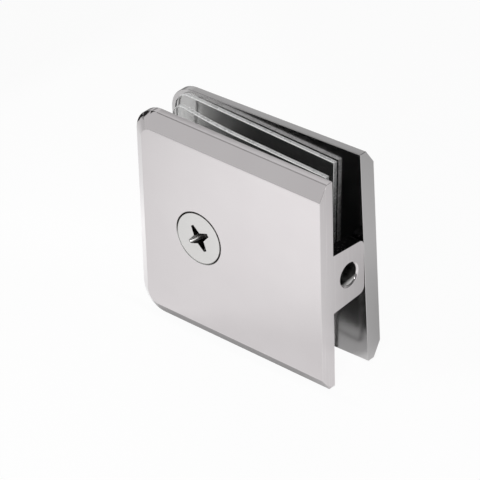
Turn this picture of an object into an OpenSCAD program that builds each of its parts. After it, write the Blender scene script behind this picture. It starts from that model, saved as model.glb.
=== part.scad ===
// Glass clamp: two bevelled plates drawn together by one countersunk screw.
// The front plate carries a web that is screwed to a wall, and two clear
// gaskets hang on the screw between the plates, where the glass goes.
// Millimetres. X runs along the plates to the wall, Y from the front plate to
// the back plate, Z up. The origin is on the wall face, on the axis of the
// wall screw's hole.

/* [Plates] */
// Length of each plate, from its free edge to the wall face
plate_w = 52; // [50:0.5:60]
// Height of each plate
plate_h = 50; // [46:0.5:60]
// Thickness of each plate
plate_t = 4.1; // [4:0.1:6]
// Gap between the plates with the back plate drawn up to the web
plate_gap = 9.9; // [9.6:0.1:13]
// Radius of the two corners at the free edge
corner_r = 6; // [4.5:0.5:9]
// Width of the bevel on the outer faces
bevel_w = 3.3; // [2:0.1:4.2]
// Depth of the bevel
bevel_d = 2.25; // [1:0.05:3]
// Turn of the loose back plate about the screw, in degrees
back_turn = 2; // [0:0.25:3]

/* [Web and wall hole] */
// Height of the web where it leaves the front plate
web_h = 14.2; // [12:0.1:18]
// Taper of the web, off each side, from the front plate to its far end
web_taper = 0.6; // [0.2:0.1:1]
// Thickness of the web, along X
web_t = 3.5; // [3:0.1:3.8]
// Rounding of the web's far edges
web_tip_r = 1.6; // [0.8:0.1:2.2]
// Gap left between the web's far end and the back plate
web_seam = 0.1; // [0.05:0.05:0.3]
// Diameter of the hole for the wall screw
wall_hole_d = 5.2; // [4:0.1:6]
// Edge break of that hole at the wall face
wall_hole_break = 0.35; // [0.1:0.05:0.5]

/* [Clamp screw] */
// Distance of the screw from the wall face
screw_from_wall = 33.4; // [31.5:0.1:34]
// Diameter of the screw's thread
screw_d = 6; // [5:0.5:6.5]
// Diameter of the screw's flat head
head_d = 12; // [10:0.1:12.4]
// Height of the straight rim above the head's cone
head_rim = 0.3; // [0.1:0.1:0.4]
// Radial clearance around the screw in both plates
screw_clear = 0.05; // [0.02:0.01:0.1]
// Radial clearance around the screw's head
head_clear = 0.1; // [0.05:0.01:0.1]
// Span of the cross recess from tip to tip
recess_span = 6.2; // [4.6:0.1:6.6]
// Depth of the cross recess
recess_depth = 2.8; // [1.5:0.1:3]
// Width of each wing of the recess at its tip
recess_wing = 0.8; // [0.5:0.05:1]
// Distance between the recess's opposite inner corners
recess_core = 2.7; // [2:0.1:3.2]
// Diameter of the recess at its floor
recess_floor_d = 2.5; // [1:0.1:3]
// Turn of the cross recess in the face, in degrees
recess_turn = 34; // [0:1:90]
// Distance of the screw's end below the back plate's outer face
screw_short = 0.5; // [0.2:0.1:1]
// Edge break at the screw's end
tip_break = 0.6; // [0.2:0.1:0.8]

/* [Gaskets] */
// Thickness of each gasket
gasket_t = 1.15; // [0.8:0.05:1.2]
// Margin of the gaskets inside the plates' top and bottom edges
gasket_margin = 1.2; // [0.8:0.1:3]
// Margin of the gaskets inside the plates' free edge
gasket_inset = 2; // [1.6:0.1:4]
// Gap between the gaskets' straight edge and the web, before they slip
gasket_web_gap = 2.9; // [2.4:0.1:5]
// Radius of the gasket's two corners at the free edge
gasket_corner_r = 4; // [2:0.1:6]
// Play of each gasket's hole around the screw, on each side
gasket_play = 1.4; // [1.35:0.05:2]
// How far each gasket has slipped sideways on the screw
gasket_slip = 1.2; // [0:0.1:1.2]
// How far each gasket has dropped on the screw
gasket_drop = 0.3; // [0:0.05:0.3]
// Turn of both gaskets about their holes, in degrees
gasket_turn = 1.9; // [0:0.1:2.5]
// Gap between the rear gasket and the back plate
rear_gap = 0.2; // [0.1:0.05:0.4]
// Gap between the front plate and the flat of the front gasket
front_gap = 3.15; // [2.6:0.05:3.3]
// Radius that the front gasket is curled to at its free side
curl_r = 115; // [100:1:400]
// Distance from the gasket's hole to the line where the curl begins
curl_margin = 0.4; // [0.3:0.1:2]

/* [Hidden] */
$fn = 96;
// How far a cutting piece runs past the face that it cuts
over = 0.2;
// How far pieces of one casting run into each other
sink = 1;
depth = 2 * plate_t + plate_gap;
front_y = -depth / 2;
front_in = -plate_gap / 2;
back_in = plate_gap / 2;
screw_x = -screw_from_wall;
screw_r = screw_d / 2;
head_r = head_d / 2;
head_h = head_rim + head_r - screw_r;
screw_len = depth - screw_short;
tip_y = back_in - web_seam;
tip_half = web_h / 2 - web_taper;
wall_hole_r = wall_hole_d / 2;
front_gasket_y = front_in + front_gap;
gasket_free = plate_w - screw_from_wall - gasket_inset;
gasket_wall = screw_from_wall - web_t - gasket_web_gap;
gasket_hole_r = screw_r + gasket_play;
gasket_half = plate_h / 2 - gasket_margin;
rear_gasket_y = back_in - rear_gap - gasket_t;
curl_x = screw_x + gasket_slip + gasket_hole_r + curl_margin;

// A cylinder along Y from y = 0
module along_y(r1, r2, len) {
    rotate([-90, 0, 0])
        cylinder(h = len, r1 = r1, r2 = r2);
}

// One plate with its outer face at y = 0, its inner face at y = plate_t
// and its wall face at x = 0. The bevel runs round all sides but the wall's.
module bevelled_plate() {
    mid_x = -plate_w + corner_r;
    mid_z = plate_h / 2 - corner_r;
    translate([mid_x, bevel_d, -plate_h / 2])
        cube([plate_w - corner_r, plate_t - bevel_d, plate_h]);
    translate([-plate_w, bevel_d, -mid_z])
        cube([corner_r + sink, plate_t - bevel_d, 2 * mid_z]);
    translate([mid_x, 0, 0])
        rotate([90, 0, 90])
            linear_extrude(height = plate_w - corner_r)
                polygon([
                    [0, bevel_w - plate_h / 2],
                    [bevel_d, -plate_h / 2],
                    [bevel_d, plate_h / 2],
                    [0, plate_h / 2 - bevel_w]
                ]);
    translate([0, 0, -mid_z])
        linear_extrude(height = 2 * mid_z)
            polygon([
                [-plate_w + bevel_w, 0],
                [mid_x + sink, 0],
                [mid_x + sink, bevel_d],
                [-plate_w, bevel_d]
            ]);
    for (side = [-1, 1])
        translate([mid_x, 0, side * mid_z]) {
            along_y(corner_r - bevel_w, corner_r, bevel_d);
            translate([0, bevel_d, 0])
                along_y(corner_r, corner_r, plate_t - bevel_d);
        }
}

// Side view of the web, in Y and Z
module web_outline() {
    polygon([
        [front_in - sink, -web_h / 2],
        [tip_y - web_tip_r, -tip_half],
        [tip_y - web_tip_r, tip_half],
        [front_in - sink, web_h / 2]
    ]);
    translate([tip_y - web_tip_r - sink, -tip_half + web_tip_r])
        square([web_tip_r + sink, 2 * (tip_half - web_tip_r)]);
    for (side = [-1, 1])
        translate([tip_y - web_tip_r, side * (tip_half - web_tip_r)])
            circle(r = web_tip_r);
}

// The front plate and its web, one casting
module front_plate() {
    color([0.82, 0.8, 0.8])
        difference() {
            union() {
                translate([0, front_y, 0])
                    bevelled_plate();
                translate([-web_t, 0, 0])
                    rotate([90, 0, 90])
                        linear_extrude(height = web_t)
                            web_outline();
            }
            translate([screw_x, front_y, 0]) {
                translate([0, -over, 0])
                    along_y(screw_r + screw_clear, screw_r + screw_clear, plate_t + 2 * over);
                translate([0, -over, 0])
                    along_y(head_r + head_clear, head_r + head_clear, head_rim + over);
                translate([0, head_rim, 0])
                    along_y(head_r + head_clear, screw_r + head_clear, head_r - screw_r);
            }
            translate([-web_t - over, 0, 0])
                rotate([0, 90, 0])
                    cylinder(h = web_t + 2 * over, r = wall_hole_r);
            translate([-wall_hole_break, 0, 0])
                rotate([0, 90, 0])
                    cylinder(h = wall_hole_break + over, r1 = wall_hole_r,
                             r2 = wall_hole_r + wall_hole_break + over);
        }
}

// The loose back plate, turned a little about the screw
module back_plate() {
    color([0.78, 0.77, 0.77])
        translate([screw_x, 0, 0])
            rotate([0, -back_turn, 0])
                difference() {
                    translate([-screw_x, -front_y, 0])
                        mirror([0, 1, 0])
                            bevelled_plate();
                    translate([0, back_in - over, 0])
                        along_y(screw_r + screw_clear, screw_r + screw_clear, plate_t + 2 * over);
                }
}

// Outline of the cross recess, one tip on the X axis
module recess_star() {
    tip = recess_span / 2;
    half = recess_wing / 2;
    dip = recess_core / (2 * sqrt(2));
    polygon([
        [tip, -half], [tip, half], [dip, dip],
        [half, tip], [-half, tip], [-dip, dip],
        [-tip, half], [-tip, -half], [-dip, -dip],
        [-half, -tip], [half, -tip], [dip, -dip]
    ]);
}

// Countersunk screw with a cross recess
module clamp_screw() {
    color([0.8, 0.81, 0.8])
        translate([screw_x, front_y, 0])
            difference() {
                union() {
                    along_y(head_r, head_r, head_rim);
                    translate([0, head_rim, 0])
                        along_y(head_r, screw_r, head_r - screw_r);
                    translate([0, head_h - over, 0])
                        along_y(screw_r, screw_r, screw_len - head_h - tip_break + over);
                    translate([0, screw_len - tip_break, 0])
                        along_y(screw_r, screw_r - tip_break, tip_break);
                }
                intersection() {
                    translate([0, -over, 0])
                        rotate([-90, 0, 0])
                            rotate([0, 0, -recess_turn])
                                linear_extrude(height = recess_depth + over)
                                    recess_star();
                    translate([0, -over, 0])
                        along_y(recess_span / 2 + over, recess_floor_d / 2, recess_depth + over);
                }
            }
}

// Outline of a gasket, its hole at the origin and its straight edge at +X
module gasket_outline() {
    mid_x = gasket_corner_r - gasket_free;
    mid_z = gasket_half - gasket_corner_r;
    difference() {
        union() {
            translate([mid_x, -gasket_half])
                square([gasket_wall - mid_x, 2 * gasket_half]);
            translate([-gasket_free, -mid_z])
                square([2 * gasket_corner_r, 2 * mid_z]);
            for (side = [-1, 1])
                translate([mid_x, side * mid_z])
                    circle(r = gasket_corner_r);
        }
        circle(r = gasket_hole_r);
    }
}

// A block with the gasket's outline, from y = 0 to y = len
module gasket_block(len) {
    rotate([90, 0, 0])
        translate([0, 0, -len])
            linear_extrude(height = len)
                gasket_outline();
}

// Loose gasket in the gap, flat at the wall side and curled at the free side
module front_gasket() {
    color([0.86, 0.9, 0.89, 0.5])
        intersection() {
            translate([screw_x + gasket_slip, front_in, -gasket_drop])
                rotate([0, gasket_turn, 0])
                    gasket_block(plate_gap);
            union() {
                translate([curl_x, front_gasket_y, -plate_h])
                    cube([plate_w, gasket_t, 2 * plate_h]);
                intersection() {
                    translate([curl_x - plate_w, front_in, -plate_h])
                        cube([plate_w, plate_gap, 2 * plate_h]);
                    translate([curl_x, front_gasket_y + curl_r, -plate_h])
                        difference() {
                            cylinder(h = 2 * plate_h, r = curl_r);
                            translate([0, 0, -over])
                                cylinder(h = 2 * plate_h + 2 * over, r = curl_r - gasket_t);
                        }
                }
            }
        }
}

// Gasket lying on the back plate
module rear_gasket() {
    color([0.86, 0.9, 0.89, 0.5])
        translate([screw_x - gasket_slip, rear_gasket_y, -gasket_drop])
            rotate([0, gasket_turn, 0])
                gasket_block(gasket_t);
}

front_plate();
back_plate();
clamp_screw();
front_gasket();
rear_gasket();
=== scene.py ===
# %% [markdown]
# A glass clamp holds the edge of a glass panel to a wall. Two polished plates are drawn together by one
# countersunk screw, and two clear gaskets hang on that screw, where the glass goes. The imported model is
# the frame of this lesson: it gives each piece its place and size in metres, so no piece below is placed
# by eye.

# %% Load the frame
import math

import bmesh
import bpy
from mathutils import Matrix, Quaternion, Vector


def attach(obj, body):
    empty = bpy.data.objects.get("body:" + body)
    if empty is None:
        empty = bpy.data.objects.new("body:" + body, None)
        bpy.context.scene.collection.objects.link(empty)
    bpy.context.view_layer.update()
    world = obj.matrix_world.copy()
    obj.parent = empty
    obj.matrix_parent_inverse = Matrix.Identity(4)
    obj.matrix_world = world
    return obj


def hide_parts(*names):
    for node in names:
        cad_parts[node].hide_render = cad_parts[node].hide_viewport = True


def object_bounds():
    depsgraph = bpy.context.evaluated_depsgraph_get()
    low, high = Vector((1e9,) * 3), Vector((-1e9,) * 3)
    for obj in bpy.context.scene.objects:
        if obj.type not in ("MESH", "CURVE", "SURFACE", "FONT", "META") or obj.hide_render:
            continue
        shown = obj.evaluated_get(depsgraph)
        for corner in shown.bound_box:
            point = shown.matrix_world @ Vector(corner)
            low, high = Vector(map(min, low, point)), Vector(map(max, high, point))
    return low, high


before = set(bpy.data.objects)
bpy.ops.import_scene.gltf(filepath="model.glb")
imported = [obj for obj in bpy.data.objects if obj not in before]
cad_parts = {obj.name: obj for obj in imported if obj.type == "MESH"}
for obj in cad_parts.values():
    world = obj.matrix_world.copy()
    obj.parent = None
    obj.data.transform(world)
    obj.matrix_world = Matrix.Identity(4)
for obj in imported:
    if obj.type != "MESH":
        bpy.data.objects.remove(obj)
cad_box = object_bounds()
MM = 0.001
print("frame nodes:", sorted(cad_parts))
print("frame box in mm:", [round(x / MM, 2) for corner in cad_box for x in corner])

# %% [markdown]
# The camera stands where the photographer's stood. The lens is long, because the far edges of the clamp
# are drawn almost as large as the near ones. The angles were measured on the plates' edges, which are
# square to each other, and the small roll is the tilt of the upright edges in the picture.

# %% Camera
CAMERA_PLACE = Vector((377.9, -452.9, 388.5)) * MM
CAMERA_AZIMUTH = math.radians(42.0)
CAMERA_ELEVATION = math.radians(32.75)
CAMERA_ROLL = math.radians(-1.73)

lens = bpy.data.cameras.new("studio_camera")
lens.sensor_width = 36.0
lens.lens = 257.7
lens.clip_start = 0.01
lens.clip_end = 20.0
camera = bpy.data.objects.new("studio_camera", lens)
bpy.context.scene.collection.objects.link(camera)
back = Vector((
    math.sin(CAMERA_AZIMUTH) * math.cos(CAMERA_ELEVATION),
    -math.cos(CAMERA_AZIMUTH) * math.cos(CAMERA_ELEVATION),
    math.sin(CAMERA_ELEVATION),
))
camera.rotation_mode = "QUATERNION"
camera.rotation_quaternion = back.to_track_quat("Z", "Y") @ Quaternion((0, 0, 1), CAMERA_ROLL)
camera.location = CAMERA_PLACE
bpy.context.scene.camera = camera
bpy.context.scene.view_settings.view_transform = "Standard"
print("camera is", round(CAMERA_PLACE.length / MM), "mm from the wall hole")

# %% [markdown]
# Chrome shows the room more than itself, so the room comes before the metal. The clamp stands on a white
# sweep, and the greys of its plates are the tones that they mirror. In a studio these come from a pool of
# light, from the clamp's own shade and from dark cards. Here they are painted on the sweep, each as a soft
# step over a distance, because a painted tone can be set for one face without changing the next.

# %% White sweep
FLOOR_Z = cad_box[0].z - 0.03 * MM
FLOOR_HALF = 3.0

sweep_mesh = bpy.data.meshes.new("white_sweep")
sweep_mesh.from_pydata(
    [(x * FLOOR_HALF, y * FLOOR_HALF, FLOOR_Z) for x, y in ((-1, -1), (1, -1), (1, 1), (-1, 1))],
    [],
    [(0, 1, 2, 3)],
)
white_sweep = bpy.data.objects.new("white_sweep", sweep_mesh)
bpy.context.scene.collection.objects.link(white_sweep)
print("sweep at", round(FLOOR_Z / MM, 2), "mm")

# %% Tones of the sweep
POOL_CENTRE = (-40.0, -100.0)
POOL_REACH = 600.0
POOL_NEAR = ((0.0, 0.97), (0.067, 0.925), (0.087, 0.875), (0.103, 0.835), (0.117, 0.78), (0.137, 0.73))
POOL_FAR = ((0.16, 0.75), (0.19, 0.92), (0.21, 0.8), (0.235, 0.8), (0.35, 0.71), (1.0, 1.0))
SHADE_TOWARDS = Vector((0.675, 0.737, 0.0))
SHADE_ACROSS = Vector((-0.737, 0.675, 0.0))
SHADE_RISE = (-5, 15)
SHADE_FADE = (25, 60)
SHADE_SIDE = (-12, 8)
SHADE_LEFT = 0.55
FAR_TOWARDS = Vector((-0.3, 0.954, 0.0))
FAR_EDGE = (95, 165)
FAR_LEFT = 0.5
CARD_NEAR = (30, 40)
CARD_FAR = (85, 110)
CARD_END = (130, 145)
CARD_LEFT = 0.05
FOOT_MIDDLE = (-26.0, -7.0)
FOOT_SQUEEZE = 0.06
FOOT_EDGE = (1.0, 2.6)
FOOT_LEFT = 0.46
FLOOR_ON_DULL = 0.25

sweep_paint = bpy.data.materials.new("sweep_paint")
sweep_paint.use_nodes = True
nodes, links = sweep_paint.node_tree.nodes, sweep_paint.node_tree.links
nodes.clear()
path = nodes.new("ShaderNodeLightPath")
side = nodes.new("ShaderNodeNewGeometry")


def set_tones(ramp, tones):
    """Fills a colour ramp with grey tones at their places."""
    for place, _ in tones[1:-1]:
        ramp.elements.new(place)
    for stop, (place, grey) in zip(ramp.elements, tones):
        stop.position = place
        stop.color = (grey, grey, grey, 1)


def on_sweep(operation, vector):
    """A place on the sweep, compared with a vector: its distance from it, or its reach along it."""
    node = nodes.new("ShaderNodeVectorMath")
    node.operation = operation
    links.new(side.outputs["Position"], node.inputs[0])
    node.inputs[1].default_value = vector
    return node.outputs["Value"]


def step(value, start, stop, low, high):
    """A smooth step from low to high between two distances, in mm."""
    node = nodes.new("ShaderNodeMapRange")
    node.interpolation_type = "SMOOTHSTEP"
    links.new(value, node.inputs["Value"])
    node.inputs["From Min"].default_value = start * MM
    node.inputs["From Max"].default_value = stop * MM
    node.inputs["To Min"].default_value = low
    node.inputs["To Max"].default_value = high
    return node.outputs["Result"]


def times(first, second):
    node = nodes.new("ShaderNodeMath")
    node.operation = "MULTIPLY"
    links.new(first, node.inputs[0])
    links.new(second, node.inputs[1])
    return node.outputs[0]


def level(share, at_none, at_full):
    """Turns a share from 0 to 1 into a level."""
    node = nodes.new("ShaderNodeMapRange")
    links.new(share, node.inputs["Value"])
    node.inputs["To Min"].default_value = at_none
    node.inputs["To Max"].default_value = at_full
    return node.outputs["Result"]


reach = nodes.new("ShaderNodeMapRange")
links.new(on_sweep("DISTANCE", (POOL_CENTRE[0] * MM, POOL_CENTRE[1] * MM, FLOOR_Z)), reach.inputs["Value"])
reach.inputs["From Max"].default_value = POOL_REACH * MM
pool = nodes.new("ShaderNodeValToRGB")
links.new(reach.outputs["Result"], pool.inputs["Fac"])
set_tones(pool.color_ramp, POOL_NEAR + POOL_FAR)
along = on_sweep("DOT_PRODUCT", SHADE_TOWARDS)
shade = times(step(along, *SHADE_RISE, 0.0, 1.0), step(along, *SHADE_FADE, 1.0, 0.5))
shade = times(shade, step(on_sweep("DOT_PRODUCT", SHADE_ACROSS), *SHADE_SIDE, 0.0, 1.0))
to_foot = nodes.new("ShaderNodeVectorMath")
to_foot.operation = "SUBTRACT"
links.new(side.outputs["Position"], to_foot.inputs[0])
to_foot.inputs[1].default_value = (FOOT_MIDDLE[0] * MM, FOOT_MIDDLE[1] * MM, FLOOR_Z)
squeezed = nodes.new("ShaderNodeVectorMath")
squeezed.operation = "MULTIPLY"
links.new(to_foot.outputs["Vector"], squeezed.inputs[0])
squeezed.inputs[1].default_value = (FOOT_SQUEEZE, 1.0, 1.0)
from_foot = nodes.new("ShaderNodeVectorMath")
from_foot.operation = "LENGTH"
links.new(squeezed.outputs["Vector"], from_foot.inputs[0])
dims = level(shade, 1.0, SHADE_LEFT)
dims = times(dims, step(from_foot.outputs["Value"], *FOOT_EDGE, FOOT_LEFT, 1.0))
dims = times(dims, step(on_sweep("DOT_PRODUCT", FAR_TOWARDS), *FAR_EDGE, 1.0, FAR_LEFT))
behind = on_sweep("DOT_PRODUCT", (0, 1, 0))
card = times(step(behind, *CARD_NEAR, 0.0, 1.0), step(behind, *CARD_FAR, 1.0, 0.0))
card = times(card, step(on_sweep("DOT_PRODUCT", (-1, 0, 0)), *CARD_END, 0.0, 1.0))
dims = times(dims, level(card, 1.0, CARD_LEFT))
dims = times(dims, level(path.outputs["Is Diffuse Ray"], 1.0, FLOOR_ON_DULL))
sweep_tone = nodes.new("ShaderNodeVectorMath")
sweep_tone.operation = "SCALE"
links.new(pool.outputs["Color"], sweep_tone.inputs[0])
links.new(dims, sweep_tone.inputs["Scale"])
print("sweep tones:", len(pool.color_ramp.elements), "in the pool")

# %% [markdown]
# One surface has to serve three kinds of ray, and the Light Path node tells them apart. The camera sees
# almost pure white, with only a breath of shadow left. A mirror sees the painted tones, which also glow a
# little. Dull surfaces see them dimmed, because light that bounces off a bright sweep would fill every
# shadow in the gap.

# %% Sweep paint
WHITE_SHARE = 0.96
MIRRORED_GLOW = 0.44

paint = nodes.new("ShaderNodeBsdfDiffuse")
links.new(sweep_tone.outputs["Vector"], paint.inputs["Color"])
glow = nodes.new("ShaderNodeEmission")
links.new(sweep_tone.outputs["Vector"], glow.inputs["Color"])
links.new(level(path.outputs["Is Glossy Ray"], 0.0, MIRRORED_GLOW), glow.inputs["Strength"])
lit_sweep = nodes.new("ShaderNodeAddShader")
links.new(paint.outputs[0], lit_sweep.inputs[0])
links.new(glow.outputs[0], lit_sweep.inputs[1])
white = nodes.new("ShaderNodeEmission")
white.inputs["Color"].default_value = (1, 1, 1, 1)
white.inputs["Strength"].default_value = 1.0
mix = nodes.new("ShaderNodeMixShader")
links.new(level(path.outputs["Is Camera Ray"], 0.0, WHITE_SHARE), mix.inputs["Fac"])
links.new(lit_sweep.outputs[0], mix.inputs[1])
links.new(white.outputs[0], mix.inputs[2])
clear = nodes.new("ShaderNodeBsdfTransparent")
open_below = nodes.new("ShaderNodeMixShader")
links.new(side.outputs["Backfacing"], open_below.inputs["Fac"])
links.new(mix.outputs[0], open_below.inputs[1])
links.new(clear.outputs[0], open_below.inputs[2])
output = nodes.new("ShaderNodeOutputMaterial")
links.new(open_below.outputs[0], output.inputs["Surface"])
sweep_mesh.materials.append(sweep_paint)
print("sweep paint: white to the camera by", WHITE_SHARE)

# %% [markdown]
# Above the sweep is the room. It is even near the horizon, has a bright band higher up, then turns dark,
# and is bright again overhead, where a soft panel would hang. It is dimmer at the right, and a black flag
# stands at the left. Mirrors see all this. To the camera the room is white, and on dull surfaces it is weak.

# %% Space above the sweep
ROOM_LOW = ((0.0, 0.64), (0.42, 0.64), (0.5, 0.47), (0.525, 0.71), (0.55, 0.77))
ROOM_HIGH = ((0.58, 0.44), (0.68, 0.08), (1.0, 1.0))
ROOM_TONES = ROOM_LOW + ROOM_HIGH
ON_DULL = 0.15
RIGHT_FROM = -0.2
RIGHT_TO = 0.6
RIGHT_SIDE = 0.4
FLAG_TOWARDS = Vector((-0.97, 0.17, 0.17))
FLAG_HALF_WIDTH = math.radians(16)
FLAG_BLUR = math.radians(4)
FLAG_LEFT = 0.03

room = bpy.data.worlds.new("studio_room")
bpy.context.scene.world = room
room.use_nodes = True
nodes, links = room.node_tree.nodes, room.node_tree.links
nodes.clear()
output = nodes.new("ShaderNodeOutputWorld")
where = nodes.new("ShaderNodeTexCoord")
parts = nodes.new("ShaderNodeSeparateXYZ")
links.new(where.outputs["Generated"], parts.inputs[0])
falloff = nodes.new("ShaderNodeValToRGB")
links.new(parts.outputs["Z"], falloff.inputs["Fac"])
set_tones(falloff.color_ramp, ROOM_TONES)
to_right = nodes.new("ShaderNodeMapRange")
links.new(parts.outputs["X"], to_right.inputs["Value"])
to_right.inputs["From Min"].default_value = RIGHT_FROM
to_right.inputs["From Max"].default_value = RIGHT_TO
to_right.inputs["To Min"].default_value = 1.0
to_right.inputs["To Max"].default_value = RIGHT_SIDE
to_flag = nodes.new("ShaderNodeVectorMath")
to_flag.operation = "DOT_PRODUCT"
links.new(where.outputs["Generated"], to_flag.inputs[0])
to_flag.inputs[1].default_value = FLAG_TOWARDS.normalized()
past_flag = nodes.new("ShaderNodeMapRange")
links.new(to_flag.outputs["Value"], past_flag.inputs["Value"])
past_flag.inputs["From Min"].default_value = math.cos(FLAG_HALF_WIDTH + FLAG_BLUR)
past_flag.inputs["From Max"].default_value = math.cos(FLAG_HALF_WIDTH)
past_flag.inputs["To Min"].default_value = 1.0
past_flag.inputs["To Max"].default_value = FLAG_LEFT
path = nodes.new("ShaderNodeLightPath")
strength = times(to_right.outputs["Result"], past_flag.outputs["Result"])
strength = times(strength, level(path.outputs["Is Diffuse Ray"], 1.0, ON_DULL))
air = nodes.new("ShaderNodeBackground")
links.new(falloff.outputs["Color"], air.inputs["Color"])
links.new(strength, air.inputs["Strength"])
white = nodes.new("ShaderNodeBackground")
white.inputs["Color"].default_value = (1, 1, 1, 1)
mix = nodes.new("ShaderNodeMixShader")
links.new(path.outputs["Is Camera Ray"], mix.inputs["Fac"])
links.new(air.outputs[0], mix.inputs[1])
links.new(white.outputs[0], mix.inputs[2])
links.new(mix.outputs[0], output.inputs["Surface"])
print("room tones from the sweep up:", [grey for place, grey in ROOM_TONES])

# %% [markdown]
# Four soft lamps light what isn't a mirror: the sweep, the gaskets' cut edges and the drilled hole. Metal
# shows a lamp as a hard white spot, so three of them are hidden from mirrors. The front lamp is left
# visible, to give the edges on the wall side a glint.

# %% Soft lamps
def soft_lamp(name, place, size, watts, mirrored):
    """A round soft lamp aimed at the clamp. mirrored says whether the metal shows it."""
    light = bpy.data.lights.new(name, "AREA")
    light.shape = "DISK"
    light.size = size
    light.energy = watts
    lamp = bpy.data.objects.new(name, light)
    lamp.location = place
    lamp.rotation_mode = "QUATERNION"
    lamp.rotation_quaternion = Vector(place).to_track_quat("Z", "Y")
    lamp.visible_camera = False
    lamp.visible_glossy = mirrored
    lamp.visible_transmission = mirrored
    bpy.context.scene.collection.objects.link(lamp)
    print(name, round(Vector(place).length, 2), "m away,", watts, "W")


soft_lamp("top_lamp", (-0.05, -0.05, 0.36), 0.28, 0.25, False)
soft_lamp("key_lamp", (0.16, -0.34, 0.43), 0.16, 1.75, False)
soft_lamp("left_lamp", (-0.095, 0.02, 0.045), 0.03, 0.02, False)
soft_lamp("front_lamp", (0.46, -0.27, 0.29), 0.12, 0.13, True)

# %% [markdown]
# Cast and polished edges are never razor sharp. A polisher leaves a rounding of up to a fifth of a
# millimetre. That thin strip catches a dark or a bright part of the room and draws the edge as a line. A
# Bevel node could fake it, but real rounding holds at any distance. So each piece is a copy of its
# imported mesh: welded, cleared of the flat triangles inside each face, and rounded by a Bevel modifier
# that reads a weight on each edge. The plates and gaskets are first cut across at mid-height, because a
# face with a hole in it needs a bridge, and this one keeps clear of the corners.

# %% Rounded copies of the imported pieces
LARGEST_ROUNDING = 0.2
WELD = 0.002
SHARP_FROM = 20


def with_modifiers_applied(piece):
    graph = bpy.context.evaluated_depsgraph_get()
    made = bpy.data.meshes.new_from_object(piece.evaluated_get(graph))
    made.name = piece.name
    piece.data = made
    piece.modifiers.clear()


def keep_inside(piece, corners):
    """Moves the points of a piece that stand outside a box onto its sides."""
    for i in range(3):
        low = min(corner[i] for corner in corners)
        high = max(corner[i] for corner in corners)
        for v in piece.data.vertices:
            v.co[i] = min(max(v.co[i], low), high)


def rounded_copy(node, name, radius_at, keep_below=None):
    """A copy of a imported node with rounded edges, kept inside the node's box.

    radius_at(middle, angle) gives the rounding of an edge in mm. With keep_below, the copy is cut off
    above that Y, in mm.
    """
    bm = bmesh.new()
    bm.from_mesh(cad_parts[node].data)
    bmesh.ops.remove_doubles(bm, verts=bm.verts, dist=WELD * MM)
    if keep_below is None:
        halves = bmesh.ops.bisect_plane(
            bm,
            geom=bm.verts[:] + bm.edges[:] + bm.faces[:],
            dist=WELD * MM,
            plane_co=(0, 0, 0),
            plane_no=(0, 0, 1),
        )
        for e in halves["geom_cut"]:
            if isinstance(e, bmesh.types.BMEdge):
                e.seam = True
    bmesh.ops.dissolve_limit(
        bm,
        angle_limit=math.radians(0.3),
        verts=bm.verts,
        edges=bm.edges,
        delimit={"SEAM"},
    )
    if keep_below is not None:
        cut = bmesh.ops.bisect_plane(
            bm,
            geom=bm.verts[:] + bm.edges[:] + bm.faces[:],
            plane_co=(0, keep_below * MM, 0),
            plane_no=(0, 1, 0),
            clear_outer=True,
        )
        bmesh.ops.edgeloop_fill(bm, edges=[e for e in cut["geom_cut"] if isinstance(e, bmesh.types.BMEdge)])
    weight = bm.edges.layers.float.new("bevel_weight_edge")
    radii = set()
    for e in bm.edges:
        angle = math.degrees(e.calc_face_angle(0.0))
        if angle > SHARP_FROM:
            radius = radius_at((e.verts[0].co + e.verts[1].co) / (2 * MM), angle)
            e[weight] = radius / LARGEST_ROUNDING
            radii.add(radius)
    mesh = bpy.data.meshes.new(name)
    bm.to_mesh(mesh)
    bm.free()
    piece = bpy.data.objects.new(name, mesh)
    bpy.context.scene.collection.objects.link(piece)
    rounding = piece.modifiers.new("rounded edges", "BEVEL")
    rounding.limit_method = "WEIGHT"
    rounding.width = LARGEST_ROUNDING * MM
    rounding.segments = 3
    rounding.use_clamp_overlap = False
    with_modifiers_applied(piece)
    keep_inside(piece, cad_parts[node].bound_box)
    piece.data.shade_smooth()
    piece.data.set_sharp_from_angle(angle=math.radians(35))
    weigh = piece.modifiers.new("flat faces stay flat", "WEIGHTED_NORMAL")
    weigh.keep_sharp = True
    weigh.weight = 100
    with_modifiers_applied(piece)
    print(name, len(piece.data.polygons), "faces, edges rounded by", min(radii), "to", max(radii), "mm")
    return piece

# %% [markdown]
# Not every edge is rounded alike. The polisher reaches the outer edges, so they are softer than the
# machined edges of the holes and of the wall face. The hole for the screw head opens on the polished
# face, so its edge is as soft as an outer one.

# %% Plates
SCREW_X = -33.4
ROUND_SCREW = 7.0
ROUND_WALL_HOLE = 3.3
FRONT_FACE_Y = -9.05
INNER_FACE_Y = -4.95
PLATE_EDGE = 0.16
HOLE_EDGE = 0.08
HEAD_HOLE_EDGE = 0.16


def plate_edges(middle, angle):
    """The rounding of a plate's edge, in mm, at its middle."""
    by_screw = math.hypot(middle.x - SCREW_X, middle.z) < ROUND_SCREW
    by_head = by_screw and middle.y < FRONT_FACE_Y + 0.55
    if by_head:
        return HEAD_HOLE_EDGE
    by_wall_hole = math.hypot(middle.y, middle.z) < ROUND_WALL_HOLE
    by_wall_face = middle.x > -0.5
    return HOLE_EDGE if by_screw or by_wall_hole or by_wall_face else PLATE_EDGE


def cast_and_shaded_faces(f):
    """The front plate's inner face and its web's sides, with painted shade. The web's wall end is polished.
    """
    middle = f.center / MM
    inner_face = abs(middle.y - INNER_FACE_Y) < 0.05 and f.normal.y > 0.9
    past_wall_hole = math.hypot(middle.y, middle.z) > ROUND_WALL_HOLE
    web_side = middle.y > INNER_FACE_Y + 0.05 and f.normal.x < 0.5 and past_wall_hole
    return inner_face or web_side


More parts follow.
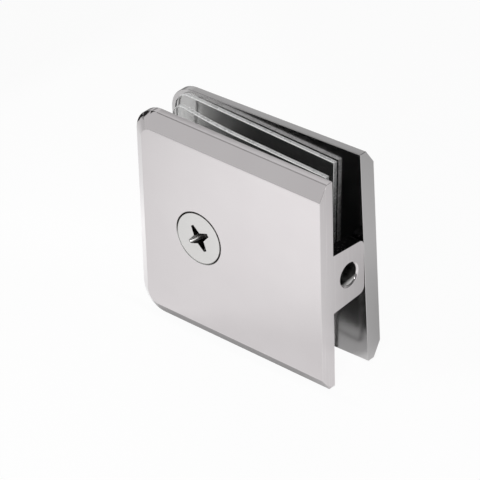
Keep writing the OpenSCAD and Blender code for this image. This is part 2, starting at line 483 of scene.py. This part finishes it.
front_plate = rounded_copy("front_plate", "polished_front_plate", plate_edges)
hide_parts("front_plate")
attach(front_plate, "front")
back_plate = rounded_copy("back_plate", "polished_back_plate", plate_edges)
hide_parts("back_plate")
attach(back_plate, "back")

# %% [markdown]
# The gaskets are punched from soft clear sheet. Their faces are smooth, and the punched edge is frosted,
# which is why the edges shine white while the faces almost vanish. Three finishes on one mesh give that:
# clear faces, a half-clear cut, and a white rim where the cut meets the faces.

# %% Gaskets
GASKET_EDGE = 0.2
CUT_ANGLE = 40


def cut_through(f):
    """The straight part of the cut, through the thickness of the sheet."""
    return abs(f.normal.y) < 0.25


def cut_rim(f):
    """The rounded part of the cut, next to the faces."""
    return 0.25 <= abs(f.normal.y) < 0.93


def gasket(node, name, body):
    piece = rounded_copy(node, name, lambda middle, angle: GASKET_EDGE if angle > CUT_ANGLE else 0)
    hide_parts(node)
    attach(piece, body)
    return piece


front_gasket = gasket("front_gasket", "clear_front_gasket", "front_pad")
rear_gasket = gasket("rear_gasket", "clear_rear_gasket", "rear_pad")

# %% [markdown]
# The clamp screw has a flat head with a cross recess, and a 6 mm thread of 1 mm pitch that runs through
# the gaskets into the back plate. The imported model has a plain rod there. The head is kept from it, and
# the rod is built again as rings of points. Their distance from the axis follows the thread's shape,
# turned a little further at each ring.

# %% Screw head
HEAD_KEPT_TO = -5.45
RIM_EDGE = 0.18
RECESS_EDGE = 0.07


def head_edges(middle, angle):
    """The rim of the head is rounded more than the pressed edges of its recess."""
    return RIM_EDGE if math.hypot(middle.x - SCREW_X, middle.z) > 5 else RECESS_EDGE


screw_head = rounded_copy("clamp_screw", "clamp_screw_head", head_edges, keep_below=HEAD_KEPT_TO)
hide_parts("clamp_screw")
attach(screw_head, "screw")

# %% Screw thread
THREAD_R = 2.98
THREAD_DEPTH = 0.58
THREAD_PITCH = 1.0
THREAD_FROM = -5.7
THREAD_TO = 8.55
THREAD_TIP = 0.7
ROUND = 48
RINGS_PER_TURN = 16


def thread_radius(turn, y):
    """Distance from the axis at a share of a turn and a height, in mm."""
    share = (y / THREAD_PITCH - turn) % 1.0
    if share < 0.125:
        drop = 0.0
    elif share < 0.4375:
        drop = (share - 0.125) / 0.3125
    elif share < 0.6875:
        drop = 1.0
    else:
        drop = 1.0 - (share - 0.6875) / 0.3125
    at_tip = THREAD_R - THREAD_TIP + (THREAD_TO - y)
    return min(THREAD_R - THREAD_DEPTH * drop, at_tip)


bm = bmesh.new()
rings = []
steps = int((THREAD_TO - THREAD_FROM) / THREAD_PITCH * RINGS_PER_TURN)
for i in range(steps + 1):
    y = THREAD_FROM + (THREAD_TO - THREAD_FROM) * i / steps
    ring = []
    for k in range(ROUND):
        angle = 2 * math.pi * k / ROUND
        r = thread_radius(k / ROUND, y)
        ring.append(bm.verts.new(((SCREW_X + r * math.sin(angle)) * MM, y * MM, r * math.cos(angle) * MM)))
    rings.append(ring)
for lower, upper in zip(rings, rings[1:]):
    for k in range(ROUND):
        n = (k + 1) % ROUND
        bm.faces.new((lower[k], lower[n], upper[n], upper[k])).smooth = True
bm.faces.new(rings[0][::-1])
bm.faces.new(rings[-1])
bmesh.ops.recalc_face_normals(bm, faces=bm.faces)
thread_mesh = bpy.data.meshes.new("clamp_screw_thread")
bm.to_mesh(thread_mesh)
bm.free()
screw_thread = bpy.data.objects.new("clamp_screw_thread", thread_mesh)
bpy.context.scene.collection.objects.link(screw_thread)
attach(screw_thread, "screw")
print("thread:", len(rings), "rings,", len(thread_mesh.polygons), "faces")

# %% [markdown]
# Four effects are node groups with their own sockets, so that the finishes below can share them. Handling
# leaves a faint uneven film, polishing leaves hair-fine marks and rolls the corners over, and edges are
# rubbed a little duller than the faces. A group puts out only masks and values. The shaders stay in the
# materials, where their other sockets can be read.

# %% Helpers for node groups
def new_group(name, inputs, outputs):
    group = bpy.data.node_groups.new(name, "ShaderNodeTree")
    for socket, kind, default in inputs:
        made = group.interface.new_socket(name=socket, in_out="INPUT", socket_type=kind)
        made.default_value = default
    for socket, kind in outputs:
        group.interface.new_socket(name=socket, in_out="OUTPUT", socket_type=kind)
    start = group.nodes.new("NodeGroupInput")
    end = group.nodes.new("NodeGroupOutput")
    print("node group:", name)
    return group, start, end


def math_node(tree, operation, a, b=None):
    """A Math node. Each of a and b is a socket or a number."""
    node = tree.nodes.new("ShaderNodeMath")
    node.operation = operation
    for i, value in enumerate((a, b)):
        if value is None:
            continue
        if isinstance(value, (int, float)):
            node.inputs[i].default_value = value
        else:
            tree.links.new(value, node.inputs[i])
    return node.outputs[0]


def stretch(tree, value, low, high, to_low=0.0, to_high=1.0):
    """A clamped Map Range node from low..high to to_low..to_high."""
    node = tree.nodes.new("ShaderNodeMapRange")
    node.clamp = True
    tree.links.new(value, node.inputs["Value"])
    node.inputs["From Min"].default_value = low
    node.inputs["From Max"].default_value = high
    node.inputs["To Min"].default_value = to_low
    node.inputs["To Max"].default_value = to_high
    return node.outputs["Result"]


def noise(tree, vector, scale, detail=3.0, roughness=0.5):
    node = tree.nodes.new("ShaderNodeTexNoise")
    tree.links.new(vector, node.inputs["Vector"])
    if isinstance(scale, (int, float)):
        node.inputs["Scale"].default_value = scale
    else:
        tree.links.new(scale, node.inputs["Scale"])
    node.inputs["Detail"].default_value = detail
    node.inputs["Roughness"].default_value = roughness
    return node.outputs["Fac"]

# %% Handling film
film_group, start, end = new_group(
    "handling film",
    [("Scale", "NodeSocketFloat", 70.0)],
    [("Cloud", "NodeSocketFloat"), ("Smudge", "NodeSocketFloat")],
)
place = film_group.nodes.new("ShaderNodeTexCoord")
cloud = noise(film_group, place.outputs["Object"], start.outputs["Scale"], 2.0, 0.45)
finer = math_node(film_group, "MULTIPLY", start.outputs["Scale"], 5.0)
smudge = noise(film_group, place.outputs["Object"], finer, 6.0, 0.6)
film_group.links.new(stretch(film_group, cloud, 0.3, 0.7), end.inputs["Cloud"])
both = math_node(film_group, "MULTIPLY", smudge, cloud)
film_group.links.new(stretch(film_group, both, 0.18, 0.45), end.inputs["Smudge"])

# %% Polishing marks
marks_group, start, end = new_group(
    "polishing marks",
    [("Scale", "NodeSocketFloat", 900.0), ("Along", "NodeSocketVector", (0.05, 1.0, 1.0))],
    [("Marks", "NodeSocketFloat"), ("Ripple", "NodeSocketFloat")],
)
place = marks_group.nodes.new("ShaderNodeTexCoord")
drawn_out = marks_group.nodes.new("ShaderNodeVectorMath")
drawn_out.operation = "MULTIPLY"
marks_group.links.new(place.outputs["Object"], drawn_out.inputs[0])
marks_group.links.new(start.outputs["Along"], drawn_out.inputs[1])
hairs = noise(marks_group, drawn_out.outputs["Vector"], start.outputs["Scale"], 4.0, 0.7)
marks_group.links.new(stretch(marks_group, hairs, 0.55, 0.75), end.inputs["Marks"])
coarse = math_node(marks_group, "MULTIPLY", start.outputs["Scale"], 0.25)
ripple = noise(marks_group, place.outputs["Object"], coarse, 1.0, 0.4)
marks_group.links.new(ripple, end.inputs["Ripple"])

# %% Rubbed edges
edge_group, start, end = new_group(
    "rubbed edges",
    [("Width", "NodeSocketFloat", 0.0005), ("Break up", "NodeSocketFloat", 600.0)],
    [("Edge", "NodeSocketFloat")],
)
place = edge_group.nodes.new("ShaderNodeTexCoord")
rounded = edge_group.nodes.new("ShaderNodeBevel")
rounded.samples = 6
edge_group.links.new(start.outputs["Width"], rounded.inputs["Radius"])
facing = edge_group.nodes.new("ShaderNodeNewGeometry")
agree = edge_group.nodes.new("ShaderNodeVectorMath")
agree.operation = "DOT_PRODUCT"
edge_group.links.new(rounded.outputs["Normal"], agree.inputs[0])
edge_group.links.new(facing.outputs["Normal"], agree.inputs[1])
turned = stretch(edge_group, agree.outputs["Value"], 0.995, 0.9)
broken = noise(edge_group, place.outputs["Object"], start.outputs["Break up"], 4.0, 0.6)
patchy = stretch(edge_group, broken, 0.35, 0.65)
edge_group.links.new(math_node(edge_group, "MULTIPLY", turned, patchy), end.inputs["Edge"])

# %% Rolled corners
ROLL_FROM = 4.4
ROLL_TO = 5.9
ROLL_OUT = (0.0, 1.5)
ROLL_UP = (1.2, 2.8)

corner_group, start, end = new_group(
    "rolled corners",
    [("Out", "NodeSocketFloat", 0.046), ("Up", "NodeSocketFloat", 0.019)],
    [("Drop", "NodeSocketFloat")],
)
place = corner_group.nodes.new("ShaderNodeTexCoord")
parts = corner_group.nodes.new("ShaderNodeSeparateXYZ")
corner_group.links.new(place.outputs["Object"], parts.inputs[0])
outwards = math_node(corner_group, "MULTIPLY", parts.outputs["X"], -1.0)
outwards = math_node(corner_group, "SUBTRACT", outwards, start.outputs["Out"])
outwards = math_node(corner_group, "MAXIMUM", outwards, 0.0)
upwards = math_node(corner_group, "ABSOLUTE", parts.outputs["Z"])
upwards = math_node(corner_group, "SUBTRACT", upwards, start.outputs["Up"])
upwards = math_node(corner_group, "MAXIMUM", upwards, 0.0)
away = math_node(corner_group, "POWER", outwards, 2.0)
away = math_node(corner_group, "ADD", away, math_node(corner_group, "POWER", upwards, 2.0))
away = math_node(corner_group, "SQRT", away)
share = math_node(corner_group, "POWER", stretch(corner_group, away, ROLL_FROM * MM, ROLL_TO * MM), 2.0)
past_out = stretch(corner_group, outwards, ROLL_OUT[0] * MM, ROLL_OUT[1] * MM)
share = math_node(corner_group, "MULTIPLY", share, past_out)
past_up = stretch(corner_group, upwards, ROLL_UP[0] * MM, ROLL_UP[1] * MM)
share = math_node(corner_group, "MULTIPLY", share, past_up)
corner_group.links.new(share, end.inputs["Drop"])

# %% [markdown]
# A finish is a material with a few of these groups in it. The helpers below place a group, blend two
# colours by a mask, and give a finish to the faces that a test picks, so one mesh can carry several.

# %% Placing a group and a finish
def place_group(tree, group, **values):
    node = tree.nodes.new("ShaderNodeGroup")
    node.node_tree = group
    for name, value in values.items():
        node.inputs[name.replace("_", " ")].default_value = value
    return node


def blend_colours(tree, mask, first, second):
    """A colour Mix node. Each colour is three numbers or a socket."""
    node = tree.nodes.new("ShaderNodeMix")
    node.data_type = "RGBA"
    tree.links.new(mask, node.inputs["Factor"])
    for socket, colour in (("A", first), ("B", second)):
        target = next(s for s in node.inputs if s.name == socket and s.type == "RGBA")
        if isinstance(colour, tuple):
            target.default_value = (*colour, 1)
        else:
            tree.links.new(colour, target)
    return next(s for s in node.outputs if s.type == "RGBA")


def dress(piece, main, *others):
    """Gives a piece its finish, and each other one to the faces that its test picks."""
    piece.data.materials.clear()
    piece.data.materials.append(main)
    for index, (other, is_other) in enumerate(others, start=1):
        piece.data.materials.append(other)
        picked = [f for f in piece.data.polygons if is_other(f)]
        for f in picked:
            f.material_index = index
        print(piece.name, len(picked), "faces in", other.name)


def new_finish(name):
    finish = bpy.data.materials.new(name)
    finish.use_nodes = True
    tree = finish.node_tree
    shader = next(n for n in tree.nodes if n.type == "BSDF_PRINCIPLED")
    return finish, tree, shader

# %% [markdown]
# Nobody sees the inside of a mounted clamp, so the front plate's inner face and the web keep the dark
# surface of the casting, mottled, with a few brighter grains. Part of that darkness is painted shade: the
# tone is near black deep in the gap by the wall end, and is painted lighter towards the free end, where
# light gets in. A ramp along the plate gives that change.

# %% As-cast metal with painted shade
CAST_LENGTH = 52.0
# Tones along the plate, free end first: painted shade, lighter where light gets in at the free end.
CAST_AND_SHADE_TONES = ((0.0, 0.5), (0.3, 0.045), (0.62, 0.04), (0.78, 0.024), (1.0, 0.022))

cast_and_shade, tree, shader = new_finish("cast_and_shade_metal")
film = place_group(tree, film_group, Scale=250.0)
place = tree.nodes.new("ShaderNodeTexCoord")
parts = tree.nodes.new("ShaderNodeSeparateXYZ")
tree.links.new(place.outputs["Object"], parts.inputs[0])
cast_and_shade_ramp = tree.nodes.new("ShaderNodeValToRGB")
tree.links.new(stretch(tree, parts.outputs["X"], -CAST_LENGTH * MM, 0.0), cast_and_shade_ramp.inputs["Fac"])
set_tones(cast_and_shade_ramp.color_ramp, CAST_AND_SHADE_TONES)
mottled = tree.nodes.new("ShaderNodeVectorMath")
mottled.operation = "SCALE"
tree.links.new(cast_and_shade_ramp.outputs["Color"], mottled.inputs[0])
tree.links.new(stretch(tree, film.outputs["Cloud"], 0.0, 1.0, 0.55, 1.45), mottled.inputs["Scale"])
grains = stretch(tree, noise(tree, place.outputs["Object"], 2600.0, 2.0, 0.5), 0.62, 0.7)
tone = blend_colours(tree, grains, mottled.outputs["Vector"], (0.24, 0.235, 0.235))
tree.links.new(tone, shader.inputs["Base Color"])
tree.links.new(stretch(tree, film.outputs["Smudge"], 0.0, 1.0, 0.35, 0.6), shader.inputs["Roughness"])
bump = tree.nodes.new("ShaderNodeBump")
bump.inputs["Strength"].default_value = 0.25
bump.inputs["Distance"].default_value = 0.0003
tree.links.new(noise(tree, place.outputs["Object"], 2200.0, 3.0, 0.6), bump.inputs["Height"])
tree.links.new(bump.outputs["Normal"], shader.inputs["Normal"])
shader.inputs["Metallic"].default_value = 1.0
print("finish:", cast_and_shade.name)

# %% [markdown]
# The ring round the screw head and its recess carry painted shade: the plating, darkened where shade
# falls in the seam and in the recess, and lighter towards one side. The drilled hole is unplated, and its
# fine scratches scatter light like a matt surface. Its lower lip is painted pale and the rest of the bore
# near black: a painted highlight and painted shade.

# %% Dark metal: painted shade
def painted_shade_metal(name, towards=(0.0, 0.0, 0.0), start=1.0, stop=2.0):
    """Plating darkened as painted shade. It lightens as the reach in a direction grows from start to stop,
    in mm.
    """
    finish, tree, shader = new_finish(name)
    film = place_group(tree, film_group, Scale=700.0)
    place = tree.nodes.new("ShaderNodeTexCoord")
    reach = tree.nodes.new("ShaderNodeVectorMath")
    reach.operation = "DOT_PRODUCT"
    tree.links.new(place.outputs["Object"], reach.inputs[0])
    reach.inputs[1].default_value = towards
    less_shaded = stretch(tree, reach.outputs["Value"], start * MM, stop * MM)
    tone = blend_colours(tree, film.outputs["Cloud"], (0.05, 0.048, 0.045), (0.13, 0.125, 0.12))
    tree.links.new(blend_colours(tree, less_shaded, tone, (0.72, 0.71, 0.7)), shader.inputs["Base Color"])
    tree.links.new(stretch(tree, film.outputs["Smudge"], 0.0, 1.0, 0.15, 0.35), shader.inputs["Roughness"])
    shader.inputs["Metallic"].default_value = 1.0
    print("finish:", name)
    return finish


# Painted shade: the seam round the head fades out towards the lower left, and the recess's sloped ends
# lighten towards its mouth.
LOWER_LEFT = Vector((-0.47, 0.0, -0.88))
at_axis = LOWER_LEFT.x * SCREW_X
recess_shade = painted_shade_metal("recess_shade")
seam_shade_fading = painted_shade_metal("seam_shade_fading", LOWER_LEFT, at_axis + 1.5, at_axis + 5.0)
recess_end_shade_fading = painted_shade_metal("recess_end_shade_fading", (0.0, -1.0, 0.0), 7.1, 8.6)

# %% Drilled metal with a painted highlight
# The bore's colour paints a highlight and shade: pale at the lower side of its mouth, where the lamps light
# it, and near black deeper in.
LIP_TOWARDS = (0.8, 0.0, -0.6)
LIP_FROM = 0.25
LIP_TO = 0.9

drilled, tree, shader = new_finish("drilled_metal")
film = place_group(tree, film_group, Scale=900.0)
place = tree.nodes.new("ShaderNodeTexCoord")
to_mouth = tree.nodes.new("ShaderNodeVectorMath")
to_mouth.operation = "DOT_PRODUCT"
tree.links.new(place.outputs["Object"], to_mouth.inputs[0])
to_mouth.inputs[1].default_value = LIP_TOWARDS
painted_lit_lip = stretch(tree, to_mouth.outputs["Value"], LIP_FROM * MM, LIP_TO * MM)
tone = blend_colours(tree, film.outputs["Cloud"], (0.02, 0.0195, 0.019), (0.07, 0.068, 0.066))
tree.links.new(blend_colours(tree, painted_lit_lip, tone, (0.95, 0.94, 0.93)), shader.inputs["Base Color"])
tree.links.new(stretch(tree, film.outputs["Smudge"], 0.0, 1.0, 0.35, 0.55), shader.inputs["Roughness"])
shader.inputs["Metallic"].default_value = 0.25
print("finish:", drilled.name)


def in_wall_hole(f):
    """The wall of the hole for the wall screw, pale at the lip as a painted highlight."""
    middle = f.center / MM
    in_bore = math.hypot(middle.y, middle.z) < 2.62 and abs(f.normal.x) < 0.3
    return in_bore and -3.6 < middle.x


def hole_rim(f):
    """The broken edge of the front plate's hole for the screw head, with the seam's painted shade."""
    middle = f.center / MM
    from_axis = math.hypot(middle.x - SCREW_X, middle.z)
    below_face = FRONT_FACE_Y + 0.001 < middle.y < FRONT_FACE_Y + 0.35
    return from_axis < 6.4 and below_face and f.normal.y > -0.995

# %% [markdown]
# The plates are cast, ground, polished and plated bright. The plating is a warm white, a little pinker
# than the screw's. Its gloss is near that of a mirror, softened by the handling film, with fine marks
# along the polishing direction and a very shallow ripple left from grinding. The tone drifts a few per
# cent with the film, which keeps the large front face from looking like a printed gradient. The back
# plate is a little darker, its inner face is only satin, and the wall end still shows the upright marks
# of the grinder.

# %% Bright plating
FRONT_TONES = ((0.70, 0.668, 0.677), (0.725, 0.696, 0.703), (0.76, 0.735, 0.735))
BACK_TONES = ((0.6, 0.588, 0.59), (0.625, 0.613, 0.615), (0.66, 0.65, 0.65))


def bright_plating(name, tones, along=(0.04, 1.0, 1.0), marked=None, rough=0.06, rolled=0.0):
    """The plates' mirror finish, between two tones, with a third where the edges are rubbed.

    Its fine marks are drawn out in the direction whose share in along is small. They have a tone of
    their own if marked is given. rolled is how far the corners seem to drop, in mm: it is only a bump,
    and the mesh keeps its shape.
    """
    darker, lighter, worn = tones
    finish, tree, shader = new_finish(name)
    film = place_group(tree, film_group, Scale=60.0)
    marks = place_group(tree, marks_group, Scale=1500.0, Along=along)
    edges = place_group(tree, edge_group, Width=0.0004, Break_up=900.0)
    tone = blend_colours(tree, film.outputs["Cloud"], darker, lighter)
    if marked:
        tone = blend_colours(tree, marks.outputs["Marks"], tone, marked)
    rubbed = blend_colours(tree, edges.outputs["Edge"], tone, worn)
    tree.links.new(rubbed, shader.inputs["Base Color"])
    gloss = math_node(tree, "MULTIPLY", film.outputs["Smudge"], 0.035)
    gloss = math_node(tree, "ADD", gloss, math_node(tree, "MULTIPLY", marks.outputs["Marks"], 0.03))
    gloss = math_node(tree, "ADD", gloss, math_node(tree, "MULTIPLY", edges.outputs["Edge"], 0.08))
    tree.links.new(math_node(tree, "ADD", gloss, rough), shader.inputs["Roughness"])
    bump = tree.nodes.new("ShaderNodeBump")
    bump.inputs["Strength"].default_value = 0.03
    bump.inputs["Distance"].default_value = 0.0002
    tree.links.new(marks.outputs["Ripple"], bump.inputs["Height"])
    if rolled:
        corners = place_group(tree, corner_group)
        roll = tree.nodes.new("ShaderNodeBump")
        roll.inputs["Strength"].default_value = 1.0
        roll.inputs["Distance"].default_value = rolled * MM
        tree.links.new(math_node(tree, "MULTIPLY", corners.outputs["Drop"], -1.0), roll.inputs["Height"])
        tree.links.new(bump.outputs["Normal"], roll.inputs["Normal"])
        bump = roll
    tree.links.new(bump.outputs["Normal"], shader.inputs["Normal"])
    shader.inputs["Metallic"].default_value = 1.0
    print("finish:", name)
    return finish


front_plating = bright_plating("front_plating", FRONT_TONES, rolled=0.3)
back_plating = bright_plating("back_plating", BACK_TONES)
satin_plating = bright_plating("satin_plating", BACK_TONES, rough=0.17)
ground_plating = bright_plating(
    "ground_plating",
    FRONT_TONES,
    along=(1.0, 1.0, 0.012),
    marked=(0.85, 0.82, 0.825),
)


def ground_end(f):
    """The end on the wall, ground square and plated with its marks still showing."""
    return f.normal.x > 0.98 and f.center.x > -0.1 * MM


# The inner faces and the web get the cast finish with its painted shade.
dress(
    front_plate,
    front_plating,
    (cast_and_shade, cast_and_shaded_faces),
    (drilled, in_wall_hole),
    (seam_shade_fading, hole_rim),
    (ground_plating, ground_end),
)


def towards_glass(f):
    """The back plate's inner face."""
    return f.normal.y < -0.98


dress(back_plate, back_plating, (satin_plating, towards_glass))

# %% [markdown]
# The screw is turned and plated apart from the plates, so its grey is more neutral and a little softer.
# Turning leaves rings round its axis: the distance from the axis, folded into waves, gives them.

# %% Turned plating
RING_PITCH = 0.16

turned_plating, tree, shader = new_finish("turned_plating")
film = place_group(tree, film_group, Scale=180.0)
edges = place_group(tree, edge_group, Width=0.0002, Break_up=1500.0)
place = tree.nodes.new("ShaderNodeTexCoord")
from_axis = tree.nodes.new("ShaderNodeVectorMath")
from_axis.operation = "SUBTRACT"
tree.links.new(place.outputs["Object"], from_axis.inputs[0])
from_axis.inputs[1].default_value = (SCREW_X * MM, 0, 0)
across = tree.nodes.new("ShaderNodeVectorMath")
across.operation = "MULTIPLY"
tree.links.new(from_axis.outputs["Vector"], across.inputs[0])
across.inputs[1].default_value = (1, 0, 1)
length = tree.nodes.new("ShaderNodeVectorMath")
length.operation = "LENGTH"
tree.links.new(across.outputs["Vector"], length.inputs[0])
waves = math_node(tree, "MULTIPLY", length.outputs["Value"], 2 * math.pi / (RING_PITCH * MM))
rings_wave = math_node(tree, "SINE", waves)
tone = blend_colours(tree, film.outputs["Cloud"], (0.675, 0.667, 0.658), (0.705, 0.697, 0.69))
rubbed = blend_colours(tree, edges.outputs["Edge"], tone, (0.74, 0.745, 0.73))
tree.links.new(rubbed, shader.inputs["Base Color"])
gloss = math_node(tree, "MULTIPLY", film.outputs["Smudge"], 0.06)
gloss = math_node(tree, "ADD", gloss, math_node(tree, "MULTIPLY", edges.outputs["Edge"], 0.08))
tree.links.new(math_node(tree, "ADD", gloss, 0.12), shader.inputs["Roughness"])
bump = tree.nodes.new("ShaderNodeBump")
bump.inputs["Strength"].default_value = 0.05
bump.inputs["Distance"].default_value = 0.00005
tree.links.new(rings_wave, bump.inputs["Height"])
tree.links.new(bump.outputs["Normal"], shader.inputs["Normal"])
shader.inputs["Metallic"].default_value = 1.0
print("finish:", turned_plating.name)


def head_rim(f):
    """The rounded rim of the head and the cone below it, with the seam's painted shade."""
    middle = f.center / MM
    return math.hypot(middle.x - SCREW_X, middle.z) > 5.7 and f.normal.y > -0.97


def in_recess(f):
    """The walls and the floor of the cross recess, which get painted shade."""
    middle = f.center / MM
    return math.hypot(middle.x - SCREW_X, middle.z) < 3.2 and -8.98 < middle.y < HEAD_KEPT_TO - 0.01


def recess_slope(f):
    """The sloped ends of the recess, whose painted shade lightens towards its mouth, unlike the steep walls
    and floor.
    """
    return in_recess(f) and 0.3 <= abs(f.normal.y) <= 0.9


# The head's rim, its recess walls and floor, and the recess ends get painted shade.
dress(screw_head, turned_plating, (seam_shade_fading, head_rim), (recess_shade, in_recess), (recess_end_shade_fading, recess_slope))
dress(screw_thread, turned_plating)

# %% [markdown]
# The gasket sheet is clear soft plastic with hardly any tint. Its faces carry the same film as the metal,
# which breaks up the gloss, and long faint waves from rolling. The punched edge scatters light, so it is
# rougher, has a fine tooth, and lets less light through.

# %% Clear sheet
clear_sheet, tree, shader = new_finish("clear_sheet")
film = place_group(tree, film_group, Scale=120.0)
tint = blend_colours(tree, film.outputs["Cloud"], (0.93, 0.935, 0.93), (0.975, 0.98, 0.975))
tree.links.new(tint, shader.inputs["Base Color"])
gloss = math_node(tree, "MULTIPLY", film.outputs["Smudge"], 0.05)
tree.links.new(math_node(tree, "ADD", gloss, 0.015), shader.inputs["Roughness"])
place = tree.nodes.new("ShaderNodeTexCoord")
rolled = tree.nodes.new("ShaderNodeVectorMath")
rolled.operation = "MULTIPLY"
tree.links.new(place.outputs["Object"], rolled.inputs[0])
rolled.inputs[1].default_value = (0.15, 1.0, 1.0)
bump = tree.nodes.new("ShaderNodeBump")
bump.inputs["Strength"].default_value = 0.06
bump.inputs["Distance"].default_value = 0.0004
tree.links.new(noise(tree, rolled.outputs["Vector"], 350.0, 2.0, 0.5), bump.inputs["Height"])
tree.links.new(bump.outputs["Normal"], shader.inputs["Normal"])
shader.inputs["Transmission Weight"].default_value = 0.98
shader.inputs["IOR"].default_value = 1.41
print("finish:", clear_sheet.name)

# %% Cut edge of the sheet
def cut_edge(name, darker, lighter, clearness):
    """The frosted finish that the punch leaves, between two tones and more or less clear."""
    finish, tree, shader = new_finish(name)
    film = place_group(tree, film_group, Scale=400.0)
    tree.links.new(blend_colours(tree, film.outputs["Cloud"], darker, lighter), shader.inputs["Base Color"])
    tree.links.new(stretch(tree, film.outputs["Smudge"], 0.0, 1.0, 0.25, 0.45), shader.inputs["Roughness"])
    bump = tree.nodes.new("ShaderNodeBump")
    bump.inputs["Strength"].default_value = 0.2
    bump.inputs["Distance"].default_value = 0.0001
    tree.links.new(film.outputs["Smudge"], bump.inputs["Height"])
    tree.links.new(bump.outputs["Normal"], shader.inputs["Normal"])
    shader.inputs["Transmission Weight"].default_value = clearness
    shader.inputs["IOR"].default_value = 1.41
    print("finish:", name)
    return finish


cut_face = cut_edge("cut_face", (0.78, 0.782, 0.78), (0.9, 0.902, 0.9), 0.4)
white_rim = cut_edge("white_rim", (0.9, 0.902, 0.9), (0.97, 0.972, 0.97), 0.1)
for piece in (front_gasket, rear_gasket):
    dress(piece, clear_sheet, (cut_face, cut_through), (white_rim, cut_rim))
